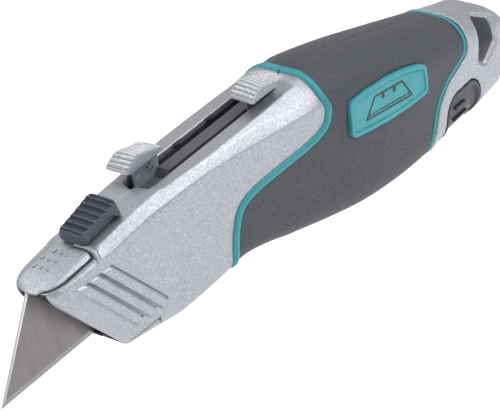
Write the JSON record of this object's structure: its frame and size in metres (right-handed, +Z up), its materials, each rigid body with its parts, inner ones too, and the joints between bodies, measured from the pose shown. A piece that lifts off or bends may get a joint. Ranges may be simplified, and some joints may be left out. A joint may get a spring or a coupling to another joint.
{
  "type": "utility knife",
  "caption": "Hand-held utility knife with side-by-side trapezoid blades on separate thumb sliders, a nose release button and a swing-out spare-blade magazine in the grip.",
  "frame": {"origin": "centre of the bounding box, blade drawn as in the picture: right blade out, left blade in", "axes": "+X along the slide towards the blade tip, +Y towards the user's left side of the knife, +Z up through the sliders"},
  "size_m": [0.1552, 0.0256, 0.043],
  "materials": {
    "shell": "satin metallic paint on cast metal",
    "grip": "fine-grained soft grip",
    "trim": "smooth soft bead",
    "badge": "raised plate with a plain pictogram",
    "rail": "dark moulded guide",
    "blade": "ground tool steel",
    "carrier": "moulded",
    "slider": "clear moulding",
    "steel": "bright hardware",
    "spring": "spring steel",
    "button": "moulded with cross ribs",
    "magazine": "moulded"
  },
  "bodies": {
    "handle": {"housing_right": "shell", "housing_left": "shell", "grip_right": "grip", "grip_left": "grip", "trim_front_right": "trim", "trim_front_left": "trim", "trim_rear_right": "trim", "trim_rear_left": "trim", "badge_right": "badge", "badge_left": "badge", "center_rail": "rail", "release_spring": "spring", "magazine_pivots": "steel", "magazine_catch": "spring", "housing_screws": "steel", "locating_dowels": "steel"},
    "right_slider": {"blade_right": "blade", "carrier_right": "carrier", "slider_right": "slider", "slider_screw_right": "steel", "detent_spring_right": "spring"},
    "left_slider": {"blade_left": "blade", "carrier_left": "carrier", "slider_left": "slider", "slider_screw_left": "steel", "detent_spring_left": "spring"},
    "button": {"release_button": "button", "release_wedge": "steel"},
    "magazine_body": {"magazine": "magazine", "spare_blades": "blade"}
  },
  "joints": [
    {"name": "right_blade_slide", "type": "slide", "parent": "handle", "child": "right_slider", "axis": [1, 0, 0], "range_m": [-0.0308, 0]},
    {"name": "left_blade_slide", "type": "slide", "parent": "handle", "child": "left_slider", "axis": [1, 0, 0], "range_m": [0, 0.0308]},
    {"name": "button_slide", "type": "slide", "parent": "handle", "child": "button", "axis": [-0.9945, 0, 0.1045], "range_m": [0, 0.0036], "stiffness_N_per_m": 600, "springref_m": -0.002, "deforming": ["release_spring"]},
    {"name": "magazine_swing", "type": "hinge", "parent": "handle", "child": "magazine_body", "pos_m": [-0.0598, 0, -0.0169], "axis": [0, 1, 0], "range_deg": [0, 60]}
  ]
}
